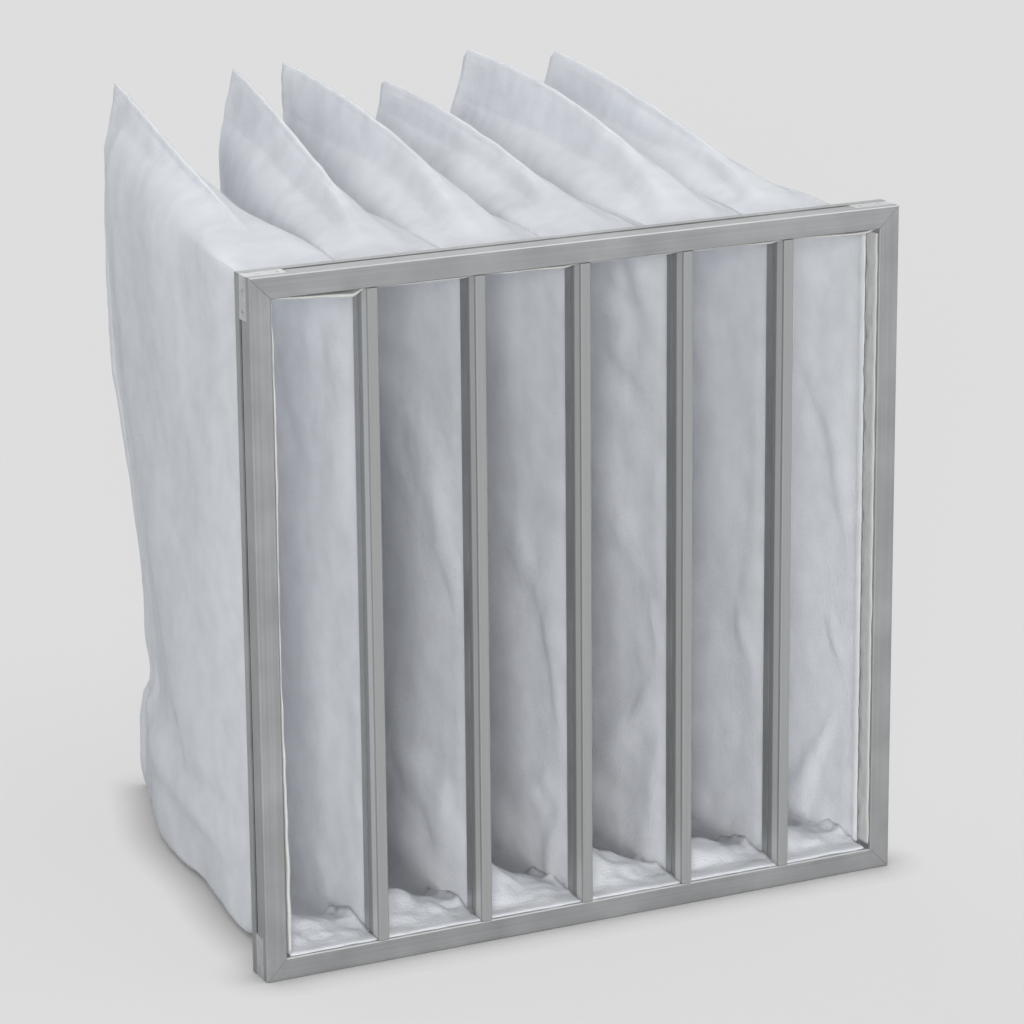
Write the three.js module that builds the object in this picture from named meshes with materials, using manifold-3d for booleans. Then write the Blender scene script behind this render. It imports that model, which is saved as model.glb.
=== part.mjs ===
// Bag air filter: a square aluminium header with six wedge-shaped fabric pockets behind it.
// Millimetres, +Z up. The open mouths face -Y and the header stands on its bottom rail.
// The origin is on the floor, in the middle of the width and of the depth.

import * as THREE from 'three';
import { mergeVertices } from 'three/addons/utils/BufferGeometryUtils.js';
import Module from 'manifold-3d';

const wasm = await Module();
wasm.setup();

// Driving dimensions: overall
const headerWidth = 592;
const headerHeight = 592;
const headerDepth = 30;
const overallDepth = 570;
const pocketCount = 6;
const barPitch = 95;

// Driving dimensions: header rails, an open channel with a slot along its outer side
const railFace = 18.5;
const railWall = 1.5;
const slotFront = 17;
const slotWidth = 5;
const edgeChamfer = 0.8;

// Driving dimensions: corner keys, pressed into notches at the rails' ends
const keyLeg = 37;
const keyThickness = 8;
const keyNotchFront = 7;
const keyDimpleRadius = 1.8;
const keyDimpleDepth = 2.5;
const keyDimplePlaces = [13, 30];
const keyDimpleSides = 10;

// Driving dimensions: divider bars and the clips behind them
const barWidth = 9;
const barDepth = 19;
const barWall = 1.2;
const neckWidth = 3;
const neckHeight = 1.5;
const clipWall = 1.2;
const clipRib = 2.6;

// Driving dimensions: pocket fabric
const fabricWall = 2.4;
const hemThickness = 1.3;
const hemFront = 3;
const seamFin = 8;
const seamHalfWidth = 2.5;
const foldHalfWidth = 4;
const floorGap = 0.3;

// Clearance between touching pieces
const gap = 0.3;

// How far a cutting box runs past what it cuts
const cutPast = 1;

// Driving dimensions: how each pocket hangs, from left to right. lean is how far its rear edge
// stands to the right, tip and shoulder its heights above the mouth, rise how fast the seam climbs,
// short how much less deep it is than the deepest, ear how far its tip lies forward, taper how late
// it narrows, slump how far its lower rear edge sags forward and notch the dent in that edge.
const pocketForms = [
  {
    lean: 36, tip: 81, shoulder: 46, rise: 1.15, short: 0,
    ear: 26, taper: 2.4, phase: 0.0, slump: 80, notch: 18,
  },
  {
    lean: 56, tip: 86, shoulder: 40, rise: 1.6, short: 6,
    ear: 24, taper: 2.0, phase: 1.3, slump: 42, notch: 6,
  },
  {
    lean: 22, tip: 82, shoulder: 40, rise: 2.2, short: 3,
    ear: 0, taper: 2.0, phase: 2.9, slump: 56, notch: 0,
  },
  {
    lean: 16, tip: 63, shoulder: 38, rise: 2.1, short: 8,
    ear: 22, taper: 2.0, phase: 4.1, slump: 38, notch: 10,
  },
  {
    lean: 5, tip: 85, shoulder: 40, rise: 2.3, short: 2,
    ear: 30, taper: 2.0, phase: 5.2, slump: 48, notch: 0,
  },
  {
    lean: 2, tip: 77, shoulder: 38, rise: 1.5, short: 6,
    ear: 28, taper: 2.1, phase: 0.8, slump: 60, notch: 8,
  },
];

// Driving dimensions: the pockets' crowns above and rounded feet below
const crownHeight = 70;
const footRadius = 10;
const footHeight = 11;
const edgeRadius = 0.4;
const footLimit = 0.9;
const tuckLimit = 0.3;
const crownAngles = [25, 52, 75];
const footAngles = [35, 70];
const shoulderRise = 2.2;

// Driving dimensions: the rear edge. Heights are shares of the pocket's full height.
const earStart = 0.9;
const slumpTop = 0.7;
const slumpFull = 0.25;
const slumpRelief = 0.25;
const reliefTop = 0.2;
const reliefFull = 0.09;
const notchHeight = 0.19;
const notchWidth = 0.03;
const heelSetback = 12;
const heelTop = 0.04;

// Driving dimensions: slack in the cloth, as depths in mm and turns along s and up the height
const longSlack = 1.7;
const longTurns = [1.3, 1.1];
const shortSlack = 1.1;
const shortTurns = [2.4, -2.1];
const slackSpread = 0.8;

// Driving dimensions: where each change along a pocket is complete, as a share of its depth
const openShare = 0.1;
const bellyShare = 0.2;
const crownShare = 0.35;
const crownDropShare = 0.9;
const footShare = 0.15;
const finShares = [0.12, 0.4];
const slackShare = 0.95;
const thickenShare = 0.04;
const leanPower = 1.5;
const leanAtFloor = 0.75;

// Worked-out sizes
const frontY = -overallDepth / 2;
const leftX = -headerWidth / 2;
const mouthLow = railFace + gap;
const mouthHigh = headerHeight - railFace - gap;
const slotRear = slotFront + slotWidth;
const clipFront = barDepth + neckHeight + gap;
const clipSlot = (barWidth - clipRib) / 2 - clipWall;
const hemFromBar = clipRib / 2 + (clipSlot - hemThickness) / 2;
const tongueEnd = clipFront + clipWall + gap + hemThickness;
const barCount = pocketCount - 1;

const aluminium = new THREE.MeshStandardMaterial({ color: 0x9d9e9b, roughness: 0.42, metalness: 0.9 });
const keyMetal = new THREE.MeshStandardMaterial({ color: 0xb9bcbf, roughness: 0.5, metalness: 0.8 });
const fabric = new THREE.MeshStandardMaterial({ color: 0xd9dce4, roughness: 0.95, metalness: 0 });

// Solids for joining and cutting
function toSolid(geometry) {
  const bare = geometry.index ? geometry.toNonIndexed() : geometry.clone();
  for (const name of Object.keys(bare.attributes)) {
    if (name !== 'position') bare.deleteAttribute(name);
  }
  const merged = mergeVertices(bare, 1e-4);
  return new wasm.Manifold(new wasm.Mesh({
    numProp: 3,
    vertProperties: new Float32Array(merged.attributes.position.array),
    triVerts: new Uint32Array(merged.index.array),
  }));
}

function toGeometry(solid) {
  const mesh = solid.getMesh();
  const geometry = new THREE.BufferGeometry();
  geometry.setAttribute('position', new THREE.BufferAttribute(new Float32Array(mesh.vertProperties), 3));
  geometry.setIndex(new THREE.BufferAttribute(new Uint32Array(mesh.triVerts), 1));
  geometry.computeVertexNormals();
  return geometry;
}

function boxBetween(low, high) {
  const size = high.map((value, axis) => value - low[axis]);
  const box = new THREE.BoxGeometry(size[0], size[1], size[2]);
  box.translate(...low.map((value, axis) => value + size[axis] / 2));
  return box;
}

function outline(points) {
  return new THREE.Shape(points.map(([x, y]) => new THREE.Vector2(x, y)));
}

function named(name, geometry, material) {
  const mesh = new THREE.Mesh(geometry, material);
  mesh.name = name;
  return mesh;
}

// The rail's section: u runs inward from the outer side, v runs back from the front face.
function railSection() {
  return outline([
    [0, slotFront],
    [0, edgeChamfer],
    [edgeChamfer, 0],
    [railFace - edgeChamfer, 0],
    [railFace, edgeChamfer],
    [railFace, headerDepth],
    [0, headerDepth],
    [0, slotRear],
    [railWall, slotRear],
    [railWall, headerDepth - railWall],
    [railFace - railWall, headerDepth - railWall],
    [railFace - railWall, railWall],
    [railWall, railWall],
    [railWall, slotFront],
  ]);
}

// A rail of the given outer length along X, its outer side at z = 0 and its front face at y = 0.
// Both ends are cut at 45 degrees, and the outer wall is notched there for the corner keys.
function railSolid(length) {
  const geometry = new THREE.ExtrudeGeometry(railSection(), { depth: 1, bevelEnabled: false });
  const place = geometry.attributes.position;
  for (let i = 0; i < place.count; i += 1) {
    const [u, v, end] = [place.getX(i), place.getY(i), place.getZ(i)];
    const reach = length / 2 - u - gap / 2;
    place.setXYZ(i, end > 0.5 ? -reach : reach, v, u);
  }
  let solid = toSolid(geometry);
  for (const side of [-1, 1]) {
    const ends = [side * (length / 2 - keyLeg), side * (length / 2 + cutPast)];
    const notch = boxBetween(
      [Math.min(...ends), keyNotchFront, -cutPast],
      [Math.max(...ends), slotRear, railWall + gap],
    );
    solid = solid.subtract(toSolid(notch));
  }
  return toGeometry(solid);
}

function makeRails() {
  const group = new THREE.Group();
  const centre = new THREE.Vector3(0, frontY, headerHeight / 2);
  const sides = [
    ['frame_rail_bottom', 0, headerWidth, headerHeight / 2],
    ['frame_rail_right', 1, headerHeight, headerWidth / 2],
    ['frame_rail_top', 2, headerWidth, headerHeight / 2],
    ['frame_rail_left', 3, headerHeight, headerWidth / 2],
  ];
  for (const [name, quarter, length, fromCentre] of sides) {
    const geometry = railSolid(length);
    geometry.translate(0, 0, -fromCentre);
    geometry.rotateY(-quarter * Math.PI / 2);
    geometry.translate(centre.x, centre.y, centre.z);
    group.add(named(name, geometry, aluminium));
  }
  return group;
}

// A corner key for the bottom-left corner: an L of two legs, dimpled where it is staked.
function keySolid() {
  const inset = gap / 2;
  const end = keyLeg - gap;
  const shape = outline([
    [inset, inset],
    [end, inset],
    [end, keyThickness],
    [keyThickness, keyThickness],
    [keyThickness, end],
    [inset, end],
  ]);
  const front = keyNotchFront + gap;
  const width = slotRear - gap - front;
  const body = new THREE.ExtrudeGeometry(shape, { depth: width, bevelEnabled: false });
  body.rotateX(Math.PI / 2);
  body.translate(0, front + width, 0);
  let solid = toSolid(body);
  for (const place of keyDimplePlaces) {
    for (const upright of [false, true]) {
      const length = 2 * keyDimpleDepth;
      const dimple = new THREE.CylinderGeometry(keyDimpleRadius, keyDimpleRadius, length, keyDimpleSides);
      if (upright) {
        dimple.rotateZ(Math.PI / 2);
        dimple.translate(inset, front + width / 2, place);
      } else {
        dimple.rotateX(Math.PI / 2);
        dimple.translate(place, front + width / 2, inset);
      }
      solid = solid.subtract(toSolid(dimple));
    }
  }
  return toGeometry(solid);
}

// Mirrors a geometry and turns its faces the right way out again.
function mirrored(geometry, sx, sz) {
  const copy = geometry.clone();
  copy.scale(sx, 1, sz);
  if (sx * sz < 0) {
    const index = copy.index.array;
    for (let i = 0; i < index.length; i += 3) {
      [index[i], index[i + 1]] = [index[i + 1], index[i]];
    }
  }
  return copy;
}

function makeKeys() {
  const group = new THREE.Group();
  const key = keySolid();
  for (const [name, sx, sz] of [
    ['corner_key_bottom_left', 1, 1],
    ['corner_key_bottom_right', -1, 1],
    ['corner_key_top_left', 1, -1],
    ['corner_key_top_right', -1, -1],
  ]) {
    const geometry = mirrored(key, sx, sz);
    geometry.translate(sx * leftX, frontY, sz > 0 ? 0 : headerHeight);
    group.add(named(name, geometry, keyMetal));
  }
  return group;
}

// Upright extrusions: the section's x is across the bar and its y runs back from the front face.
function upright(section, low, high, x) {
  const geometry = new THREE.ExtrudeGeometry(section, { depth: high - low, bevelEnabled: false });
  geometry.translate(x, frontY, low);
  return geometry;
}

function barSection() {
  const half = barWidth / 2;
  const section = outline([
    [-half + edgeChamfer, 0],
    [half - edgeChamfer, 0],
    [half, edgeChamfer],
    [half, barDepth],
    [neckWidth / 2, barDepth],
    [neckWidth / 2, barDepth + neckHeight],
    [-neckWidth / 2, barDepth + neckHeight],
    [-neckWidth / 2, barDepth],
    [-half, barDepth],
    [-half, edgeChamfer],
  ]);
  const inner = half - barWall;
  section.holes.push(new THREE.Path([
    [-inner, barWall],
    [-inner, barDepth - barWall],
    [inner, barDepth - barWall],
    [inner, barWall],
  ].map(([x, y]) => new THREE.Vector2(x, y))));
  return section;
}

function clipSection() {
  const half = barWidth / 2;
  const leg = half - clipWall;
  const base = clipFront + clipWall;
  return outline([
    [-half, clipFront],
    [half, clipFront],
    [half, headerDepth],
    [leg, headerDepth],
    [leg, base],
    [clipRib / 2, base],
    [clipRib / 2, headerDepth],
    [-clipRib / 2, headerDepth],
    [-clipRib / 2, base],
    [-leg, base],
    [-leg, headerDepth],
    [-half, headerDepth],
  ]);
}

function barCentre(number) {
  return (number - (barCount - 1) / 2) * barPitch;
}

function makeDividers() {
  const group = new THREE.Group();
  const clipInset = hemThickness + 2 * gap;
  for (let i = 0; i < barCount; i += 1) {
    const bar = upright(barSection(), mouthLow, mouthHigh, barCentre(i));
    const clip = upright(clipSection(), mouthLow + clipInset, mouthHigh - clipInset, barCentre(i));
    group.add(named(`divider_bar_${i + 1}`, bar, aluminium));
    group.add(named(`divider_clip_${i + 1}`, clip, aluminium));
  }
  return group;
}

// Pockets. s runs from 0 at the header's rear face to 1 at the pocket's rear edge.
const wallHeights = [0, 0.1, 0.2, 0.34, 0.49, 0.64, 0.78, 0.9, 1];
const outerStations = [0, 0.04, 0.09, 0.15, 0.23, 0.33, 0.44, 0.56, 0.68, 0.8, 0.9, 0.97, 1];
const innerStations = [0, 0.04, 0.09, 0.15, 0.23, 0.33, 0.44, 0.56, 0.68, 0.8, 0.88];

function smooth(low, high, value) {
  const t = Math.min(1, Math.max(0, (value - low) / (high - low)));
  return t * t * (3 - 2 * t);
}

function mouthOf(number) {
  const left = number === 0 ? leftX + mouthLow : barCentre(number - 1) + hemFromBar;
  const right = number === barCount ? -leftX - mouthLow : barCentre(number) - hemFromBar;
  return { centre: (left + right) / 2, half: (right - left) / 2 };
}

// How far back the pocket's rear edge lies at a height from 0, the floor, to 1, the seam's top.
function reachAt(form, height) {
  const full = overallDepth - headerDepth - form.short;
  const ear = form.ear * smooth(earStart, 1, height);
  const relief = slumpRelief * smooth(reliefTop, reliefFull, height);
  const slump = form.slump * (smooth(slumpTop, slumpFull, height) - relief);
  const notch = form.notch * Math.exp(-(((height - notchHeight) / notchWidth) ** 2));
  const heel = heelSetback * smooth(heelTop, 0, height);
  return full - ear - slump - notch - heel;
}

// Slack cloth: long shallow folds that fade out at the mouth and at the rear edge.
function slack(form, side, s, height) {
  const fade = Math.sin(Math.PI * Math.min(1, s / slackShare)) ** slackSpread;
  const wave = (turns, phase) => Math.sin(2 * Math.PI * (turns[0] * s + turns[1] * height) + phase);
  const long = longSlack * wave(longTurns, form.phase + side);
  const short = shortSlack * wave(shortTurns, 2 * form.phase - side);
  return fade * smooth(0, openShare, s) * (long + short);
}

// The sizes of the pocket's section at s, shrunk inward by inset.
function sectionAt(form, mouth, s, inset) {
  const narrow = 1 - s ** form.taper;
  const half = foldHalfWidth + (mouth.half - foldHalfWidth) * narrow - inset;
  const belly = mouthLow + (floorGap - mouthLow) * smooth(0, bellyShare, s) + inset;
  const shoulder = mouthHigh + form.shoulder * (1 - (1 - s) ** shoulderRise) - inset;
  const ridge = mouthHigh + form.tip * (1 - (1 - s) ** form.rise) - inset;
  const crown = Math.min(half, edgeRadius + half * smooth(0, crownShare, s));
  const crownDrop = edgeRadius + crownHeight * smooth(0, crownDropShare, s);
  const foot = Math.min(half * footLimit, edgeRadius + footRadius * smooth(0, footShare, s));
  const footRise = edgeRadius + footHeight * smooth(0, bellyShare, s);
  const fin = seamFin * smooth(finShares[0], finShares[1], s);
  const tuck = Math.min(seamHalfWidth, half * tuckLimit);
  return {
    half, belly, ridge, crown, crownDrop, foot, footRise, fin, tuck,
    top: shoulder - crownDrop,
    low: belly + footRise,
  };
}

// One ring of points round the pocket at s: up the left wall, over the crown and its seam,
// down the right wall and back under the foot.
function pocketRing(form, mouth, s, inset) {
  const size = sectionAt(form, mouth, s, inset);
  const rounded = (side, radius, degrees, base, rise) => {
    const angle = degrees * Math.PI / 180;
    const across = size.half - radius + radius * Math.cos(angle);
    return [side * across, base + rise * Math.sin(angle), side];
  };
  const wall = (side) => wallHeights.map(
    (share) => [side * size.half, size.low + (size.top - size.low) * share, side],
  );
  const crown = (side) => crownAngles.map(
    (degrees) => rounded(side, size.crown, degrees, size.top, size.crownDrop),
  );
  const foot = (side) => footAngles.map(
    (degrees) => rounded(side, size.foot, degrees, size.low, -size.footRise),
  );
  const route = [
    ...wall(-1), ...crown(-1),
    [-size.tuck, size.ridge - size.fin, 0], [0, size.ridge, 0], [size.tuck, size.ridge - size.fin, 0],
    ...crown(1).reverse(), ...wall(1).reverse(),
    ...foot(1), [0, size.belly, 0], ...foot(-1).reverse(),
  ];
  return route.map(([across, z, side]) => {
    const height = Math.min(1, z / (mouthHigh + form.tip));
    const drift = form.lean * s ** leanPower * (leanAtFloor + (1 - leanAtFloor) * height);
    const fold = side === 0 ? 0 : slack(form, side, s, height);
    const y = frontY + headerDepth + s * reachAt(form, height);
    return [mouth.centre + drift + across + fold, y, z];
  });
}

// Joins rings into a closed skin. Faces look outward for rings that run clockwise seen from -Y.
function skin(rings, inward) {
  const vertices = rings.flat();
  const faces = [];
  const size = rings[0].length;
  const add = (a, b, c) => faces.push(inward ? [a, b, c] : [a, c, b]);
  for (let k = 0; k + 1 < rings.length; k += 1) {
    for (let j = 0; j < size; j += 1) {
      const next = (j + 1) % size;
      const [a, b] = [k * size + j, k * size + next];
      const [c, d] = [a + size, b + size];
      add(a, c, b);
      add(b, c, d);
    }
  }
  return { vertices, faces };
}

// Closes the last ring, which is long and thin, with rungs between its left and right sides.
function closeEnd(part, rings, inward) {
  const size = rings[0].length;
  const start = (rings.length - 1) * size;
  const ridge = wallHeights.length + crownAngles.length + 1;
  const at = (j) => start + (j + size) % size;
  const add = (a, b, c) => part.faces.push(inward ? [a, c, b] : [a, b, c]);
  for (let k = 0; k < size / 2; k += 1) {
    const [left, right] = [at(ridge - k), at(ridge + k)];
    const [leftBelow, rightBelow] = [at(ridge - k - 1), at(ridge + k + 1)];
    if (left !== right) add(leftBelow, left, right);
    if (leftBelow !== rightBelow) add(leftBelow, right, rightBelow);
  }
}

function pocketShell(number) {
  const form = pocketForms[number];
  const mouth = mouthOf(number);
  const hemRing = pocketRing(form, mouth, 0, 0);
  const collarFront = frontY + clipFront + clipWall + gap;
  const outer = [hemRing.map(([x, , z]) => [x, collarFront, z])];
  outer.push(...outerStations.map((s) => pocketRing(form, mouth, s, 0)));
  const hemInner = pocketRing(form, mouth, 0, hemThickness);
  const inner = [hemInner.map(([x, , z]) => [x, collarFront, z])];
  for (const s of innerStations) {
    const inset = hemThickness + (fabricWall - hemThickness) * smooth(0, thickenShare, s);
    inner.push(pocketRing(form, mouth, s, inset));
  }
  const outside = skin(outer, false);
  const inside = skin(inner, true);
  closeEnd(outside, outer, false);
  closeEnd(inside, inner, true);
  const shift = outside.vertices.length;
  const vertices = [...outside.vertices, ...inside.vertices];
  const faces = [...outside.faces, ...inside.faces.map((face) => face.map((v) => v + shift))];
  const size = hemRing.length;
  for (let j = 0; j < size; j += 1) {
    const next = (j + 1) % size;
    faces.push([j, shift + j, next]);
    faces.push([next, shift + j, shift + next]);
  }
  const geometry = new THREE.BufferGeometry();
  geometry.setAttribute('position', new THREE.BufferAttribute(new Float32Array(vertices.flat()), 3));
  geometry.setIndex(faces.flat());
  return geometry;
}

// The hem is folded forward onto the rails: a flap at the top and bottom, and at the outer sides.
function hemFlaps(number) {
  const left = number === 0 ? leftX + mouthLow : barCentre(number - 1) + barWidth / 2 + gap;
  const right = number === barCount ? -leftX - mouthLow : barCentre(number) - barWidth / 2 - gap;
  const [near, far] = [frontY + hemFront, frontY + tongueEnd];
  const flaps = [
    boxBetween([left, near, mouthLow], [right, far, mouthLow + hemThickness]),
    boxBetween([left, near, mouthHigh - hemThickness], [right, far, mouthHigh]),
  ];
  if (number === 0) {
    flaps.push(boxBetween([left, near, mouthLow], [left + hemThickness, far, mouthHigh]));
  }
  if (number === barCount) {
    flaps.push(boxBetween([right - hemThickness, near, mouthLow], [right, far, mouthHigh]));
  }
  return flaps;
}

function makePockets() {
  const group = new THREE.Group();
  for (let i = 0; i < pocketCount; i += 1) {
    let solid = toSolid(pocketShell(i));
    for (const flap of hemFlaps(i)) solid = solid.add(toSolid(flap));
    group.add(named(`filter_pocket_${i + 1}`, toGeometry(solid), fabric));
  }
  return group;
}

const filter = new THREE.Group();
filter.add(makeRails(), makeKeys(), makeDividers(), makePockets());

export default filter;
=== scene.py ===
"""Bag air filter: fine cloth pockets, metal finishes, stage and camera around the CAD frame.

Metres in Blender; the shape tables below are in millimetres, in the part's own frame: +Z up,
mouths towards -Y, origin on the floor in the middle of the width and depth.
"""

import math

import bmesh
import bpy
import numpy as np
from mathutils import Matrix, Vector, noise


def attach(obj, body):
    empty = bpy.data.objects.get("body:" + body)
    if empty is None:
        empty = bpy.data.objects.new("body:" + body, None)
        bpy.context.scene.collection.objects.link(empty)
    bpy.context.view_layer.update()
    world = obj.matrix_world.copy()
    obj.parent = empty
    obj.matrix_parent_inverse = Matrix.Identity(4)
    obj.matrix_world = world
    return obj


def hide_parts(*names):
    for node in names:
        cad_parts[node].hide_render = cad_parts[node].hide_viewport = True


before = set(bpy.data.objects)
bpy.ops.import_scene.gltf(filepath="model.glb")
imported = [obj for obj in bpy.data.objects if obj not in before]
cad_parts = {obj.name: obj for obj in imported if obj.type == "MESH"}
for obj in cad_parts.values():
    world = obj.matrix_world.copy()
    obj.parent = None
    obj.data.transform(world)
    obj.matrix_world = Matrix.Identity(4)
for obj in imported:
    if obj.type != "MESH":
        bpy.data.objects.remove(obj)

bl_info = {
    "name": "Bag Air Filter Builder",
    "version": (1, 0, 0),
    "blender": (4, 5, 0),
    "location": "View3D > Sidebar > Bag Filter",
    "description": "Builds the cloth pockets, finishes, stage and camera of a bag air filter",
    "category": "Object",
}

MM = 0.001

# Overall sizes, in mm
HEADER_WIDTH = 592.0
HEADER_HEIGHT = 592.0
HEADER_DEPTH = 30.0
OVERALL_DEPTH = 570.0
POCKET_DEPTH = OVERALL_DEPTH - HEADER_DEPTH
POCKETS = 6
BAR_PITCH = 95.0
BAR_WIDTH = 9.0
BAR_FACE_END = 3.2      # where a bar's grey front face ends, from the front
BAR_SIDE_END = 12.0     # where its sides' painted highlight ends and the painted shade of the gap at the clamped cloth begins
RAIL_FACE = 18.5
GAP = 0.3
HEM_FROM_BAR = 1.65
COLLAR_FRONT = 22.3
HEM_FRONT = 3.0
HEM_END = 23.6
HEM_THICKNESS = 1.3
FLOOR_HEM = 104.0       # how far the hem on a mouth's floor runs back
CLOTH_THICKNESS = 2.4
FLOOR_GAP = 0.3

# For each pocket from the left, in mm: how far the top hem droops, how deep and how high up the folds
# lie that fan out from the right hem, and how high the floor's hem billows
HEM_DROOP = (6.5, 1.0, 2.0, 0.5, 1.5, 3.5)
FAN_DEPTH = (0.0, 1.5, 3.0, 3.5, 2.0, 6.5)
FAN_HEIGHT = (150.0, 210.0, 120.0, 180.0, 150.0, 150.0)
FLOOR_BILLOW = (20.0, 30.0, 40.0, 40.0, 28.0, 22.0)

# Worked-out sizes, in mm
FRONT_Y = -OVERALL_DEPTH / 2
LEFT_X = -HEADER_WIDTH / 2
MOUTH_LOW = RAIL_FACE + GAP
MOUTH_HIGH = HEADER_HEIGHT - RAIL_FACE - GAP
BARS = POCKETS - 1

# How each pocket hangs, from left to right, in mm and shares. lean is how far its rear edge stands to
# the right, tip and shoulder its heights above the mouth, rise how fast the seam climbs, short how much
# less deep it is than the deepest, ear how far its tip lies forward, taper how late it narrows, slump
# how far its lower rear edge sags forward, notch the dent in that edge and blunt how much its tip drops.
FORM_KEYS = ("lean", "tip", "shoulder", "rise", "short", "ear", "taper", "phase", "slump", "notch", "blunt")
FORMS = [dict(zip(FORM_KEYS, values)) for values in (
    (36, 81, 46, 1.15, 0, 26, 2.4, 0.0, 80, 18, 0),
    (56, 86, 40, 1.6, 6, 24, 2.0, 1.3, 42, 6, 1),
    (22, 82, 40, 2.2, 3, 0, 2.0, 2.9, 56, 0, 1),
    (16, 63, 38, 2.1, 8, 22, 2.0, 4.1, 38, 10, 5),
    (5, 85, 40, 2.3, 2, 30, 2.0, 5.2, 48, 0, 8),
    (2, 77, 38, 1.5, 6, 28, 2.1, 0.8, 60, 8, 8),
)]

# The pockets' section, in mm
FOLD_HALF = 4.0
SEAM_FIN = 8.0
SEAM_HALF = 2.5
SEAM_EDGE = 1.5
SEAM_PINCH = 1.3
SEAM_INSIDE = 0.3
SEAM_SINK = 1.5
SEAM_SPREAD = 9.0
SEAM_SWAY = 1.6
CROWN_HEIGHT = 70.0
CROWN_END = 72.0        # degrees
FOOT_RADIUS = 10.0
FOOT_HEIGHT = 11.0
EDGE_RADIUS = 0.4
SHOULDER_RISE = 2.2
REAR_ROUND = 4.0
INNER_END = 0.955       # share of the depth where the inner skin ends
DEEPEST_PUSH = 7.0
STRIP_STEP = 2.5
HEM_CLEARANCE = 0.4

# Colours are multiplied by these shares at the darkest and palest spots
RAIL_TONES = (0.86, 1.14)
BAR_FACE_TONES = (0.88, 1.12)
# painted highlight: the bars' sides are painted 1.4 to 1.95 times their colour, with the grain's lines
# between
BAR_SIDE_PAINTED_LIGHT_TONES = (1.4, 1.95)
# painted shade: the bars' sides behind BAR_SIDE_END are painted at this share of their colour
BAR_REAR_PAINTED_SHADE = 0.8
KEY_TONES = (0.62, 1.15)
CLOTH_TONES = (0.96, 1.03)

# Grain of the metal: noise scales along X, Y and Z, low along the rail
GRAIN_LEVEL = (3.0, 900.0, 900.0)
GRAIN_UPRIGHT = (900.0, 900.0, 3.0)
GRAIN_KEY = (260.0, 260.0, 260.0)

# Stage: backdrop, sky, where the three lights come from with their spread in degrees, and the camera
BACKGROUND_GREY = (0.716, 0.716, 0.709)
SKY_COLOUR = (0.885, 0.935, 1.0)
LIGHT_BOUNCES = 7
TOP_FROM, TOP_SPREAD = (0.28, -0.15, 1.1), 60.0
SIDE_FROM, SIDE_SPREAD = (-0.97, -1.9, 0.45), 22.0
BACK_FROM, BACK_SPREAD = (-0.25, 1.6, 0.8), 60.0
CAMERA_PLACE = (-1.4998, -3.2305, 1.3075)
CAMERA_YAW, CAMERA_PITCH, CAMERA_ROLL = 25.91, 15.94, -0.51
SENSOR_WIDTH = 36.0


def smooth(low, high, value):
    """Eases from 0 to 1 as value goes from low to high."""
    t = np.clip((value - low) / (high - low), 0.0, 1.0)
    return t * t * (3.0 - 2.0 * t)


def bar_centre(number):
    """The middle of a divider bar, in mm."""
    return (number - (BARS - 1) / 2) * BAR_PITCH


def mouth_of(number):
    """(middle, half width) of a pocket's mouth, in mm."""
    left = LEFT_X + MOUTH_LOW if number == 0 else bar_centre(number - 1) + HEM_FROM_BAR
    right = -LEFT_X - MOUTH_LOW if number == BARS else bar_centre(number) - HEM_FROM_BAR
    return (left + right) / 2, (right - left) / 2


def reach_at(form, height):
    """How far back the rear edge lies at a share of the pocket's height, in mm."""
    full = POCKET_DEPTH - form["short"]
    ear = form["ear"] * smooth(0.9, 1.0, height)
    slump = form["slump"] * (smooth(0.7, 0.25, height) - 0.25 * smooth(0.2, 0.09, height))
    notch = form["notch"] * np.exp(-(((height - 0.19) / 0.03) ** 2))
    heel = 12.0 * smooth(0.04, 0.0, height)
    return full - ear - slump - notch - heel


def slack(form, side, s, height):
    """The long shallow folds of the slack cloth, in mm."""
    fade = np.sin(np.pi * np.minimum(1.0, s / 0.95)) ** 0.8 * smooth(0.0, 0.1, s)
    long = 1.7 * np.sin(2 * np.pi * (1.3 * s + 1.1 * height) + form["phase"] + side)
    short = 1.1 * np.sin(2 * np.pi * (2.4 * s - 2.1 * height) + 2 * form["phase"] - side)
    return fade * (long + short)


def stations(count):
    """Shares of the depth for the rings, closer together near the mouth."""
    t = np.linspace(0.0, 1.0, count)
    return 0.35 * t ** 2 + 0.65 * t


def ring_layout(rows):
    """(kind, value, side) of every point round a ring, up the left wall and down the right."""
    walls = [("wall", k / (rows - 1)) for k in range(rows)]
    crown = [("crown", float(a)) for a in np.linspace(5, CROWN_END, 14)]
    slope = [("slope", float(a)) for a in np.linspace(0.12, 1.0, 9)]
    fin = [("fin", 0.25), ("fin", 0.6), ("fin", 0.95)]
    foot = [("foot", float(a)) for a in np.linspace(12, 84, 7)]
    up = walls + crown + slope + fin
    left = [(kind, value, -1) for kind, value in up]
    right = [(kind, value, 1) for kind, value in reversed(up)]
    below = [(kind, value, 1) for kind, value in foot]
    back = [(kind, value, -1) for kind, value in reversed(foot)]
    return left + [("ridge", 0.0, 0)] + right + below + [("belly", 0.0, 0)] + back


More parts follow.
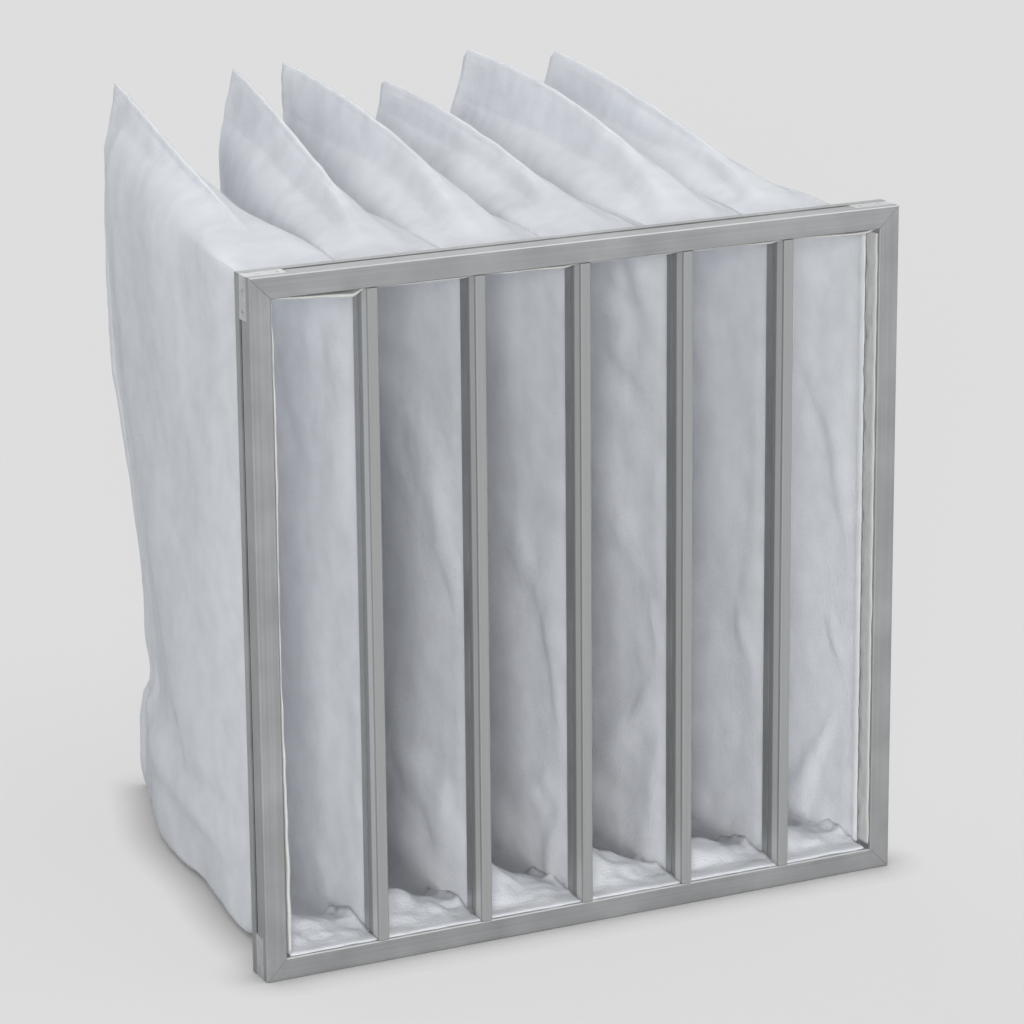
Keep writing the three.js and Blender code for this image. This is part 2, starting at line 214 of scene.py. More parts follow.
def section_at(form, half_mouth, s, inset):
    """The sizes of the pocket's section at a share s of its depth, in mm."""
    half = FOLD_HALF + (half_mouth - FOLD_HALF) * (1 - s ** form["taper"]) - inset
    belly = MOUTH_LOW + (FLOOR_GAP - MOUTH_LOW) * smooth(0.0, 0.2, s) + inset
    shoulder = MOUTH_HIGH + form["shoulder"] * (1 - (1 - s) ** SHOULDER_RISE) - inset
    ridge = MOUTH_HIGH + form["tip"] * (1 - (1 - s) ** form["rise"]) - inset
    ridge -= form["blunt"] * smooth(0.972, 1.0, s) ** 2
    crown = min(half, EDGE_RADIUS + half * smooth(0.0, 0.35, s))
    crown_drop = EDGE_RADIUS + CROWN_HEIGHT * smooth(0.0, 0.9, s)
    foot = min(half * 0.9, EDGE_RADIUS + FOOT_RADIUS * smooth(0.0, 0.15, s))
    foot_rise = EDGE_RADIUS + FOOT_HEIGHT * smooth(0.0, 0.2, s)
    fin = SEAM_FIN * smooth(0.15, 0.6, s)
    ridge = max(ridge, shoulder - SEAM_SINK + fin)
    tuck = min(SEAM_HALF, half * 0.3)
    pinch = SEAM_PINCH + SEAM_SPREAD * smooth(0.5, 0.1, s)
    return dict(
        half=half, ridge=ridge, belly=belly, crown=crown, crown_drop=crown_drop,
        foot=foot, foot_rise=foot_rise, fin=fin, tuck=tuck, pinch=pinch,
        top=shoulder - crown_drop, low=belly + foot_rise,
    )


def section_point(size, kind, value, side, inset):
    """(across, height, outward direction across, outward direction up) of one ring point."""
    if kind == "wall":
        return side * size["half"], size["low"] + (size["top"] - size["low"]) * value, side, 0.0
    if kind in ("crown", "foot"):
        angle = math.radians(value)
        radius = size[kind]
        across = size["half"] - radius + radius * math.cos(angle)
        base = size["top"] if kind == "crown" else size["low"]
        rise = size["crown_drop"] if kind == "crown" else -size["foot_rise"]
        up = math.sin(angle) * (1 if kind == "crown" else -1)
        return side * across, base + rise * math.sin(angle), side * math.cos(angle), up
    fin_base = size["ridge"] - size["fin"]
    if kind == "slope":
        start = section_point(size, "crown", CROWN_END, side, inset)
        ease = value * value * (3 - 2 * value) * 0.5 + value * 0.5
        inner = SEAM_PINCH - SEAM_INSIDE if inset > 0 else 0.0
        pinch = min(0.6 * size["half"], size["pinch"] - inner)
        across = start[0] + (side * pinch - start[0]) * value
        up = start[1] + (fin_base - start[1]) * ease
        return across, up, side * 0.4 * (1 - value), 0.9 * (1 - value)
    if kind == "fin":
        if inset > 0:
            return side * min(size["tuck"], SEAM_INSIDE) * (1 - value), fin_base, 0.0, 0.0
        across = min(SEAM_EDGE, size["tuck"])
        across += (min(0.6 * size["half"], size["pinch"]) - across) * (1 - value) ** 2
        return side * across, fin_base + size["fin"] * value, 0.0, 0.0
    if kind == "ridge":
        return 0.0, size["ridge"] if inset == 0 else fin_base, 0.0, 0.0
    return 0.0, size["belly"], 0.0, -1.0


def foot_crease(number, s, z):
    """How far out the cloth stands at the crease from the rear notch to the header, in mm."""
    line = 52.0 + 30.0 * s + 42.0 * s ** 4 + 5.0 * math.sin(7.0 * s + 2.0 * number)
    above = (z - line) / (30.0 if z > line else 8.0)
    return 6.0 * math.exp(-above * above) * float(smooth(0.03, 0.25, s))


def hanging_fold(number, side, s, z):
    """How far the cloth ahead of and above the hanging fold stands out, in mm."""
    shift = 16.0 * math.sin(2.3 * number + side)
    turn = 0.5 + 0.0013 * (z - 121.0 - shift)
    ahead = float(smooth(-7.0, 9.0, (turn - s) * POCKET_DEPTH))
    above = float(smooth(-5.0, 9.0, z - (132.0 + shift - 26.0 * s)))
    return 6.5 * ahead * above * float(smooth(430.0, 210.0, z)) * float(smooth(0.02, 0.15, s))


def fanned_folds(number, side, s, z):
    """How far in the folds that fan out from one place at its hem draw the right wall, in mm."""
    if side < 0:
        return 0.0
    back, up = POCKET_DEPTH * s + 4.0, z - FAN_HEIGHT[number]
    angle, reach = math.atan2(up, back), math.hypot(up, back)
    sharp = (0.5 + 0.5 * math.cos(8.0 * angle + number + reach / 90.0)) ** 2.5
    near, far = float(smooth(10.0, 60.0, reach)), float(smooth(340.0, 140.0, reach))
    return -FAN_DEPTH[number] * sharp * near * far


def rear_pleat(s, z):
    """How far out the cloth stands beside the line pressed along the rear edge, in mm."""
    line = 0.935 - 0.02 * math.sin(z / 90.0)
    pressed = -2.6 * math.exp(-(((s - line) / 0.016) ** 2))
    return pressed + 1.8 * math.exp(-(((s - line + 0.05) / 0.025) ** 2))


def wrinkles(cloth, number, s, places, layout, room):
    """How far out the finer folds and wrinkles push each point of a ring, in mm."""
    out = np.zeros(len(layout))
    fade = float(smooth(0.0, 0.10, s)) * float(smooth(1.0, INNER_END, s))
    start = float(smooth(0.0, 0.02, s))
    near_header = start * math.exp(-s / 0.16)
    fold, crease = cloth.fold_depth / MM, cloth.crease_depth / MM
    fine, pucker, gather = cloth.fine_depth / MM, cloth.pucker_depth / MM, cloth.gather_depth / MM
    for k, (kind, value, side) in enumerate(layout):
        if kind in ("fin", "ridge"):
            continue
        x, y, z = places[k]
        seed = 17.3 * number + 5.1 * side

        def wave(a, b, c):
            """Smooth noise at a place, different for every wall."""
            return noise.noise((a + seed, b, c))

        broad = wave(x / 200, y / 130, z / 190)
        if side > 0:
            over, along, depth = (z - 0.4 * y) / 85, (y + 0.4 * z) / 260, 1.6
        else:
            over, along, depth = (y + 0.7 * z) / 120, (z - 0.7 * y) / 330, 0.6
        long_fold = max(0.0, 1.0 - 2.2 * abs(wave(over, along, 3.7)))
        crossing = wave(1.3 * over + 0.6 * along, 1.7 * along, 9.1)
        short_fold = max(0.0, 1.0 - 2.4 * abs(crossing))
        mask = 0.5 + 0.5 * wave(x / 140, y / 110, z / 120 + 20.0)
        small = 1.4 * wave(x / 40, y / 30, z / 36) + wave(x / 16, y / 17, z / 20)
        folded = long_fold ** 1.6 * mask + 0.7 * short_fold ** 1.6 * (1 - mask)
        creases = crease * depth * (folded - 0.3)
        push = fold * broad + 0.45 * fine * small * (0.4 + 0.6 * mask)
        share = {"slope": 0.4 + 0.6 * value, "crown": value / CROWN_END * 0.4}.get(kind, 0.0)
        push += (creases + rear_pleat(s, z)) * (1 - share)
        if kind == "wall":
            push += foot_crease(number, s, z) + hanging_fold(number, side, s, z)
            push += fanned_folds(number, side, s, z)
        push += pucker * share * (1 - share * share) * 1.6 * wave(x / 26, z / 70, y / 170)
        push += 0.3 * pucker * share ** 3 * wave(y / 19, 6.0, 1.0)
        ruffle = wave(x / 11, z / 17, y / 90) + 0.5 * wave(x / 5, z / 8, y / 50)
        bunched = 1.0 + 2.5 * math.exp(-max(0.0, z) / 45.0)
        out[k] = fade * push + near_header * gather * ruffle * bunched
    return np.clip(out, -DEEPEST_PUSH, room)


def ragged_edge(number, z):
    """How far back the rear edge wavers at a height, in mm."""
    return 5.0 * noise.noise((z / 46, number, 2.0)) + 2.4 * noise.noise((z / 15, number, 5.0))


def pocket_rings(cloth, number):
    """The outer and inner rings of a pocket, in mm, as (rings, points, 3) arrays."""
    form = FORMS[number]
    centre, half_mouth = mouth_of(number)
    layout = ring_layout(cloth.wall_rows)
    shares = list(stations(cloth.rings))
    full_height = MOUTH_HIGH + form["tip"]
    outer, inner = [], []

    def place(size, s, inset, push):
        """One ring in the part's frame, pushed out by the given depths."""
        rows = [section_point(size, kind, value, side, inset) for kind, value, side in layout]
        across, z, dir_x, dir_z = np.array(rows).T
        side = np.array([entry[2] for entry in layout])
        height = np.minimum(1.0, z / full_height)
        drift = form["lean"] * s ** 1.5 * (0.75 + 0.25 * height)
        fold = (1 - seam) * np.where(side == 0, 0.0, slack(form, side, s, height))
        y = FRONT_Y + HEADER_DEPTH + s * reach_at(form, height)
        points = np.stack([centre + drift + across + fold, y, z], axis=1)
        points[:, 0] += push * dir_x
        points[:, 2] += push * dir_z
        sway = SEAM_SWAY * smooth(0.1, 0.3, s) * noise.noise((y[0] / 34, 3.0 * number, 1.0))
        points[:, 0] += seam * sway
        points[:, 1] += s ** 8 * np.array([ragged_edge(number, h) for h in z])
        return points

    zero = np.zeros(len(layout))
    seam = np.array([
        1.0 if kind in ("fin", "ridge") else value ** 2 if kind == "slope" else 0.0
        for kind, value, side in layout])
    for s in shares:
        size = section_at(form, half_mouth, s, 0.0)
        base = place(size, s, 0.0, zero)
        room = 0.3 + 0.5 * (half_mouth - size["half"])
        push = wrinkles(cloth, number, s, base, layout, room)
        low = base[:, 2] < 2.5
        push = np.where(low, np.minimum(push, 0.0), push)
        rounding = math.sqrt(max(0.0, 1 - max(0.0, 1 - (1 - s) * POCKET_DEPTH / REAR_ROUND) ** 2))
        if rounding < 1:
            half, tuck = max(0.6, size["half"] * rounding), max(0.2, size["tuck"] * rounding)
            size = dict(size, half=half, tuck=tuck)
            size["crown"] = min(size["crown"], size["half"])
            size["foot"] = min(size["foot"], 0.9 * size["half"])
        outer.append(place(size, s, 0.0, push))
        if s < INNER_END:
            inset = HEM_THICKNESS + (CLOTH_THICKNESS - HEM_THICKNESS) * float(smooth(0.0, 0.04, s))
            inner.append(place(section_at(form, half_mouth, s, inset), s, inset, push))
    collar = FRONT_Y + COLLAR_FRONT
    for rings in (outer, inner):
        front = rings[0].copy()
        front[:, 1] = collar
        rings.insert(0, front)
    outer_array, inner_array = np.array(outer), np.array(inner)
    outer_array[:, :, 2] = np.maximum(outer_array[:, :, 2], FLOOR_GAP)
    inner_array[:, :, 2] = np.maximum(inner_array[:, :, 2], FLOOR_GAP + 0.8 * CLOTH_THICKNESS)
    return outer_array, inner_array, layout


def skin_faces(rings, size, start, inward):
    """Quads between neighbouring rings, and rungs that close the last one."""
    faces = []
    for k in range(rings - 1):
        for j in range(size):
            after = (j + 1) % size
            a, b = start + k * size + j, start + k * size + after
            faces.append((a, b, b + size, a + size) if inward else (a, a + size, b + size, b))
    return faces


def end_faces(rings, size, start, ridge, inward):
    """Rungs between the left and right sides of the last ring."""
    faces = []
    first = start + (rings - 1) * size
    for k in range(size // 2):
        left, right = first + (ridge - k) % size, first + (ridge + k) % size
        left_below, right_below = first + (ridge - k - 1) % size, first + (ridge + k + 1) % size
        loop = [left_below, left] + ([right] if right != left else [])
        loop += [right_below] if right_below != left_below else []
        faces.append(tuple(reversed(loop)) if not inward else tuple(loop))
    return faces


def pocket_mesh(cloth, number):
    """Vertices in mm and faces of a pocket's closed shell."""
    outer, inner, layout = pocket_rings(cloth, number)
    size = len(layout)
    ridge = [entry[0] for entry in layout].index("ridge")
    shift = len(outer) * size
    faces = skin_faces(len(outer), size, 0, False) + end_faces(len(outer), size, 0, ridge, False)
    faces += skin_faces(len(inner), size, shift, True) + end_faces(len(inner), size, shift, ridge, True)
    for j in range(size):
        after = (j + 1) % size
        faces.append((j, after, shift + after, shift + j))
    vertices = np.concatenate([outer.reshape(-1, 3), inner.reshape(-1, 3)])
    return vertices, faces


def strip_mesh(length, width, place, seed, cloth, lift_at, rough=1.0):
    """A wavy hem strip. place maps (along, across, up) in mm into the part's frame.

    lift_at gives how far it stands off the rail at a share along it and a distance across.
    """
    along = np.linspace(0.0, length, max(12, int(length / STRIP_STEP)))
    across = np.linspace(0.0, width, max(12, int(width / STRIP_STEP)))
    wave_height = cloth.hem_wave / MM
    top, bottom = [], []
    for a in along:
        for b in across:
            wave = noise.noise((a / 24, b / 19, seed)) + 0.4 * noise.noise((a / 11, b / 10, seed + 4))
            free = 0.3 + 1.7 * float(smooth(3.0, 26.0, b)) * float(smooth(width, width - 9.0, b))
            edge = b + 1.6 * (1.0 - b / width) * noise.noise((a / 23, 1.0, seed + 8))
            edge += 4.0 * (b / width) * (noise.noise((a / 16, 1.0, seed + 6)) - 0.3)
            lift = wave_height * free * rough * max(0.0, 0.6 + 1.3 * wave)
            skin = 0.25 + 0.9 * float(smooth(0.0, 3.0, b))
            off = lift_at(a / length, b)
            top.append(place(a, edge, skin + lift + off))
            bottom.append(place(a, edge, 0.05 + min(off, 0.0) + 0.6 * max(off, 0.0)))
    rows, columns = len(along), len(across)
    total = rows * columns
    faces = []
    for i in range(rows - 1):
        for j in range(columns - 1):
            k = i * columns + j
            faces.append((k, k + 1, k + columns + 1, k + columns))
            faces.append((total + k, total + k + columns, total + k + columns + 1, total + k + 1))
    border = [(i * columns, (i + 1) * columns) for i in range(rows - 1)]
    border += [((rows - 1) * columns + j, (rows - 1) * columns + j + 1) for j in range(columns - 1)]
    last = columns - 1
    border += [((i + 1) * columns + last, i * columns + last) for i in reversed(range(rows - 1))]
    border += [(j + 1, j) for j in reversed(range(columns - 1))]
    faces += [(a, b, total + b, total + a) for a, b in border]
    return np.array(top + bottom), faces


def hem_strips(cloth, number):
    """The hem strips at the top and sides of a mouth and the fold on its floor, as (vertices, faces)."""
    left = LEFT_X + MOUTH_LOW if number == 0 else bar_centre(number - 1) + BAR_WIDTH / 2 + GAP
    right = -LEFT_X - MOUTH_LOW if number == BARS else bar_centre(number) - BAR_WIDTH / 2 - GAP
    front, width = FRONT_Y + HEM_FRONT, HEM_END - HEM_FRONT
    inset = HEM_CLEARANCE
    length = right - left - 2 * inset
    tall = MOUTH_HIGH - MOUTH_LOW - 8.0

    def level(share, b):
        """Flat on the rail."""
        return 0.0

    def droop(share, b):
        """Hanging a little below the top rail."""
        return HEM_DROOP[number] * float(smooth(0.0, 0.15, share)) * (1 - share)

    def leaning(share, b):
        """Leaning in towards the foot of the left rail."""
        return 0.8 + 3.0 * share + 1.0 * math.sin(9.0 * share)

    def floor(share, b):
        """On the pocket's floor, which falls away behind the rail, with a billow at its left."""
        s = (HEM_FRONT + b - HEADER_DEPTH) / POCKET_DEPTH
        fall = (MOUTH_LOW - FLOOR_GAP) * float(smooth(0.0, 0.2, s))
        hump = float(smooth(12.0, 62.0, b)) * float(smooth(FLOOR_HEM, 66.0, b))
        return FLOOR_BILLOW[number] * hump * (1 - share) ** 1.2 - fall

    def low(a, b, c):
        """Onto the bottom rail and the pocket's floor, turned up at the walls."""
        first = 4.0 if number == 0 else 0.0
        last = 4.0 if number == BARS else 0.0
        x = left + inset + first + a * (1 - (first + last) / length)
        corner = max(0.0, 1 - a / 10.0) ** 2 + max(0.0, 1 - (length - a) / 10.0) ** 2
        return x, front + b, MOUTH_LOW + c + 8.0 * corner * float(smooth(24.0, 60.0, b))

    def high(a, b, c):
        """Under the top rail."""
        return right - inset - a, front + b, MOUTH_HIGH - c

    def near(a, b, c):
        """Down the left rail."""
        return left + c, front + b, MOUTH_HIGH - 4.0 - a

    def far(a, b, c):
        """Up the right rail."""
        return right - c, front + b, MOUTH_LOW + 4.0 + a

    fold = strip_mesh(length, FLOOR_HEM, low, 3.1 * number, cloth, floor, 1.5)
    strips = [strip_mesh(length, width, high, 3.1 * number + 1, cloth, droop)]
    if number == 0:
        strips.append(strip_mesh(tall, width, near, 41.0, cloth, leaning))
    if number == BARS:
        strips.append(strip_mesh(tall, 0.85 * width, far, 47.0, cloth, level))
    return strips, fold


def mesh_object(name, vertices, faces, material, outward=False):
    """A smooth mesh object from vertices in mm. outward turns a closed shell's faces outwards."""
    mesh = bpy.data.meshes.new(name)
    mesh.from_pydata([tuple(v) for v in np.asarray(vertices) * MM], [], faces)
    mesh.validate()
    if outward:
        shape = bmesh.new()
        shape.from_mesh(mesh)
        bmesh.ops.recalc_face_normals(shape, faces=shape.faces)
        shape.to_mesh(mesh)
        shape.free()
    mesh.polygons.foreach_set("use_smooth", [True] * len(mesh.polygons))
    mesh.materials.append(material)
    obj = bpy.data.objects.new(name, mesh)
    bpy.context.scene.collection.objects.link(obj)
    return obj


def joined(parts):
    """Several (vertices, faces) as one."""
    vertices, faces, shift = [], [], 0
    for points, loops in parts:
        vertices.append(np.asarray(points))
        faces += [tuple(v + shift for v in loop) for loop in loops]
        shift += len(points)
    return np.concatenate(vertices), faces


# Shader building blocks

def new_group(name, inputs, outputs):
    """An empty shader node group with named sockets, and its input and output nodes."""
    tree = bpy.data.node_groups.new(name, "ShaderNodeTree")
    for socket, kind, default in inputs:
        made = tree.interface.new_socket(name=socket, in_out="INPUT", socket_type=kind)
        if default is not None:
            made.default_value = default
    for socket, kind in outputs:
        tree.interface.new_socket(name=socket, in_out="OUTPUT", socket_type=kind)
    return tree, tree.nodes.new("NodeGroupInput"), tree.nodes.new("NodeGroupOutput")


def node(tree, kind, values=None, **settings):
    """A node with its settings and its sockets' constants."""
    made = tree.nodes.new(kind)
    for key, value in settings.items():
        setattr(made, key, value)
    for key, value in (values or {}).items():
        made.inputs[key].default_value = value
    return made


def ramp(tree, low, high, dark, bright):
    """A map range node from (low, high) to (dark, bright)."""
    return node(tree, "ShaderNodeMapRange", {1: low, 2: high, 3: dark, 4: bright})


def grain_group():
    """Lengthwise drawing lines and soft blotches of an extruded metal face."""
    tree, start, end = new_group(
        "drawn_metal_grain",
        [("Stretch", "NodeSocketVector", (1.0, 1.0, 1.0)), ("Blotch Scale", "NodeSocketFloat", 14.0)],
        [("Lines", "NodeSocketFloat"), ("Blotches", "NodeSocketFloat")],
    )
    place = node(tree, "ShaderNodeTexCoord")
    scaled = node(tree, "ShaderNodeVectorMath", operation="MULTIPLY")
    lines = node(tree, "ShaderNodeTexNoise", {"Scale": 1.0, "Detail": 5.0, "Roughness": 0.7})
    blotches = node(tree, "ShaderNodeTexNoise", {"Detail": 4.0, "Roughness": 0.6})
    tree.links.new(place.outputs["Object"], scaled.inputs[0])
    tree.links.new(start.outputs["Stretch"], scaled.inputs[1])
    tree.links.new(scaled.outputs[0], lines.inputs["Vector"])
    tree.links.new(place.outputs["Object"], blotches.inputs["Vector"])
    tree.links.new(start.outputs["Blotch Scale"], blotches.inputs["Scale"])
    tree.links.new(lines.outputs["Fac"], end.inputs["Lines"])
    tree.links.new(blotches.outputs["Fac"], end.inputs["Blotches"])
    return tree


def fleece_group():
    """Non-woven fleece: fibre clumps, long soft stains and a faint diamond embossing."""
    tree, start, end = new_group(
        "filter_fleece",
        [
            ("Emboss Pitch", "NodeSocketFloat", 1450.0), ("Fibre Scale", "NodeSocketFloat", 330.0),
            ("Emboss", "NodeSocketFloat", 0.5),
        ],
        [("Clouds", "NodeSocketFloat"), ("Relief", "NodeSocketFloat")],
    )
    place = node(tree, "ShaderNodeTexCoord")
    fibres = node(tree, "ShaderNodeTexNoise", {"Detail": 0.0})
    clouds = node(tree, "ShaderNodeTexNoise", {"Scale": 36.0, "Detail": 1.0, "Roughness": 0.6})
    mottled = ramp(tree, 0.3, 0.7, 0.0, 1.0)
    split = node(tree, "ShaderNodeSeparateXYZ")
    rising = node(tree, "ShaderNodeMath", operation="ADD")
    falling = node(tree, "ShaderNodeMath", operation="SUBTRACT")
    turns = [node(tree, "ShaderNodeMath", operation="MULTIPLY") for _ in range(2)]
    waves = [node(tree, "ShaderNodeMath", operation="SINE") for _ in range(2)]
    both = node(tree, "ShaderNodeMath", operation="MULTIPLY")
    dots = ramp(tree, 0.45, 0.9, 0.0, 1.0)
    pressed = node(tree, "ShaderNodeMath", operation="MULTIPLY")
    relief = node(tree, "ShaderNodeMath", operation="SUBTRACT")
    link = tree.links.new
    link(place.outputs["Object"], fibres.inputs["Vector"])
    link(start.outputs["Fibre Scale"], fibres.inputs["Scale"])
    link(place.outputs["Object"], clouds.inputs["Vector"])
    link(place.outputs["Object"], split.inputs[0])
    for joint, turn, wave in zip((rising, falling), turns, waves):
        link(split.outputs["Y"], joint.inputs[0])
        link(split.outputs["Z"], joint.inputs[1])
        link(joint.outputs[0], turn.inputs[0])
        link(start.outputs["Emboss Pitch"], turn.inputs[1])
        link(turn.outputs[0], wave.inputs[0])
    link(waves[0].outputs[0], both.inputs[0])
    link(waves[1].outputs[0], both.inputs[1])
    link(both.outputs[0], dots.inputs["Value"])
    link(dots.outputs[0], pressed.inputs[0])
    link(start.outputs["Emboss"], pressed.inputs[1])
    link(fibres.outputs["Fac"], relief.inputs[0])
    link(pressed.outputs[0], relief.inputs[1])
    link(clouds.outputs["Fac"], mottled.inputs["Value"])
    link(mottled.outputs[0], end.inputs["Clouds"])
    link(relief.outputs[0], end.inputs["Relief"])
    return tree


def new_material(name):
    """A material with a Principled BSDF, returned with its tree and that node."""
    material = bpy.data.materials.new(name)
    material.use_nodes = True
    return material, material.node_tree, material.node_tree.nodes["Principled BSDF"]


def colour_mix(tree, dark, bright, factor):
    """A mix of two colours by a factor socket."""
    mix = node(tree, "ShaderNodeMix", data_type="RGBA")
    mix.inputs["A"].default_value = (*dark, 1.0)
    mix.inputs["B"].default_value = (*bright, 1.0)
    tree.links.new(factor, mix.inputs["Factor"])
    return mix.outputs["Result"]


def toned(colour, tones):
    """A colour times the dark share and times the pale share, at most white."""
    base = np.array(colour)
    return tuple(base * tones[0]), tuple(np.minimum(base * tones[1], 1.0))


def metal_material(name, finish, stretch, grain):
    """Mill-finish aluminium with its grain along one direction."""
    material, tree, shader = new_material(name)
    link = tree.links.new
    marks = node(tree, "ShaderNodeGroup")
    marks.node_tree = grain
    marks.inputs["Stretch"].default_value = stretch
    tones = toned(finish.metal_colour, RAIL_TONES)
    worn = node(tree, "ShaderNodeMath", {1: 0.5}, operation="MULTIPLY_ADD")
    half = node(tree, "ShaderNodeMath", {1: 0.5}, operation="MULTIPLY")
    link(marks.outputs["Lines"], worn.inputs[0])
    link(marks.outputs["Blotches"], half.inputs[0])
    link(half.outputs[0], worn.inputs[2])
    spread = ramp(tree, 0.36, 0.64, 0.0, 1.0)
    link(worn.outputs[0], spread.inputs["Value"])
    tone = colour_mix(tree, *tones, spread.outputs[0])
    link(tone, shader.inputs["Base Color"])
    rough = ramp(tree, 0.3, 0.7, finish.metal_roughness - 0.06, finish.metal_roughness + 0.08)
    link(marks.outputs["Blotches"], rough.inputs["Value"])
    link(rough.outputs[0], shader.inputs["Roughness"])
    bump = node(tree, "ShaderNodeBump", {"Strength": 0.12, "Distance": 0.0002})
    link(marks.outputs["Lines"], bump.inputs["Height"])
    link(bump.outputs["Normal"], shader.inputs["Normal"])
    shader.inputs["Metallic"].default_value = finish.metallic
    return material


def bar_material(name, finish, stretch, grain):
    """The bars' metal: a grey face, sides painted paler as a highlight, and a painted shade at the rear
    where the cloth is clamped.
    """
    material, tree, shader = new_material(name)
    link = tree.links.new
    marks = node(tree, "ShaderNodeGroup")
    marks.node_tree = grain
    marks.inputs["Stretch"].default_value = stretch
    place = node(tree, "ShaderNodeTexCoord")
    split = node(tree, "ShaderNodeSeparateXYZ")
    front = FRONT_Y * MM
    # masks for the painted highlight on the sides behind BAR_FACE_END and the painted shade behind
    # BAR_SIDE_END
    side = ramp(tree, front + BAR_FACE_END * MM, front + (BAR_FACE_END + 0.8) * MM, 0.0, 1.0)
    rear = ramp(tree, front + BAR_SIDE_END * MM, front + (BAR_SIDE_END + 1.5) * MM, 0.0, 1.0)
    link(place.outputs["Object"], split.inputs[0])
    link(split.outputs["Y"], side.inputs["Value"])
    link(split.outputs["Y"], rear.inputs["Value"])
    tone = colour_mix(tree, *toned(finish.bar_colour, BAR_FACE_TONES), marks.outputs["Lines"])
    # the sides' painted highlight colour, with the grain's lines
    painted_light_streaks = colour_mix(tree, *toned(finish.bar_colour, BAR_SIDE_PAINTED_LIGHT_TONES), marks.outputs["Lines"])
    sides = node(tree, "ShaderNodeMix", data_type="RGBA")
    link(side.outputs[0], sides.inputs["Factor"])
    link(tone, sides.inputs["A"])
    link(painted_light_streaks, sides.inputs["B"])
    # painted shade over the rear of the sides
    whole = node(tree, "ShaderNodeMix", data_type="RGBA")
    whole.inputs["B"].default_value = (*(np.array(finish.bar_colour) * BAR_REAR_PAINTED_SHADE), 1.0)
    link(rear.outputs[0], whole.inputs["Factor"])
    link(sides.outputs["Result"], whole.inputs["A"])
    link(whole.outputs["Result"], shader.inputs["Base Color"])
    shader.inputs["Roughness"].default_value = finish.metal_roughness
    shader.inputs["Metallic"].default_value = finish.bar_metallic
    return material


def key_material(finish, grain):
    """The corner keys' mottled, brighter metal."""
    material, tree, shader = new_material("corner_key_metal")
    link = tree.links.new
    marks = node(tree, "ShaderNodeGroup")
    marks.node_tree = grain
    marks.inputs["Stretch"].default_value = GRAIN_KEY
    marks.inputs["Blotch Scale"].default_value = 120.0
    tone = colour_mix(tree, *toned(finish.key_colour, KEY_TONES), marks.outputs["Blotches"])
    link(tone, shader.inputs["Base Color"])
    rough = ramp(tree, 0.35, 0.65, 0.32, 0.6)
    link(marks.outputs["Lines"], rough.inputs["Value"])
    link(rough.outputs[0], shader.inputs["Roughness"])
    bump = node(tree, "ShaderNodeBump", {"Strength": 0.4, "Distance": 0.0006})
    link(marks.outputs["Blotches"], bump.inputs["Height"])
    link(bump.outputs["Normal"], shader.inputs["Normal"])
    shader.inputs["Metallic"].default_value = finish.metallic
    return material


def fleece_material(name, colour, fleece, emboss, glow, finish):
    """Matte white filter fleece that lets part of the light through."""
    material, tree, shader = new_material(name)
    link = tree.links.new
    marks = node(tree, "ShaderNodeGroup")
    marks.node_tree = fleece
    marks.inputs["Emboss"].default_value = emboss
    tone = colour_mix(tree, *toned(colour, CLOTH_TONES), marks.outputs["Clouds"])
    link(tone, shader.inputs["Base Color"])
    shader.inputs["Roughness"].default_value = finish.cloth_roughness
    shader.inputs["Specular IOR Level"].default_value = 0.0
    bump = node(tree, "ShaderNodeBump", {"Strength": 0.45, "Distance": 0.0009})
    link(marks.outputs["Relief"], bump.inputs["Height"])
    link(bump.outputs["Normal"], shader.inputs["Normal"])
    through = node(tree, "ShaderNodeBsdfTranslucent")
    link(tone, through.inputs["Color"])
    link(bump.outputs["Normal"], through.inputs["Normal"])
    facing = node(tree, "ShaderNodeNewGeometry")
    share = ramp(tree, 0.0, 1.0, glow, 1.0)
    both = node(tree, "ShaderNodeMixShader")
    link(facing.outputs["Backfacing"], share.inputs["Value"])
    link(share.outputs[0], both.inputs["Fac"])
    link(shader.outputs["BSDF"], both.inputs[1])
    link(through.outputs["BSDF"], both.inputs[2])
    link(both.outputs[0], tree.nodes["Material Output"].inputs["Surface"])
    return material


def repaint(names, material):
    """Gives CAD nodes a material."""
    for name in names:
        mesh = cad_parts[name].data
        mesh.materials.clear()
        mesh.materials.append(material)


# Settings a user would change

class BagFilterCloth(bpy.types.PropertyGroup):
    """How the pockets' cloth falls."""

    rings: bpy.props.IntProperty(name="Rings", description="Rings along each pocket", default=84, min=20)
    wall_rows: bpy.props.IntProperty(name="Wall rows", description="Rows up each wall", default=66, min=20)
    fold_depth: bpy.props.FloatProperty(
        name="Fold depth", description="Depth of the broad folds", default=0.0075, unit="LENGTH")
    crease_depth: bpy.props.FloatProperty(
        name="Crease depth", description="Depth of the slanting creases", default=0.0036, unit="LENGTH")
    fine_depth: bpy.props.FloatProperty(
        name="Fine wrinkle depth", description="Depth of the small wrinkles",
        default=0.0014, unit="LENGTH")
    pucker_depth: bpy.props.FloatProperty(
        name="Pucker depth", description="Depth of the puckers along the top seam",
        default=0.0035, unit="LENGTH")
    gather_depth: bpy.props.FloatProperty(
        name="Gather depth", description="Depth of the gathers behind the mouth",
        default=0.0010, unit="LENGTH")
    hem_wave: bpy.props.FloatProperty(
        name="Hem wave", description="How high the hem strips stand off the rails",
        default=0.0011, unit="LENGTH")


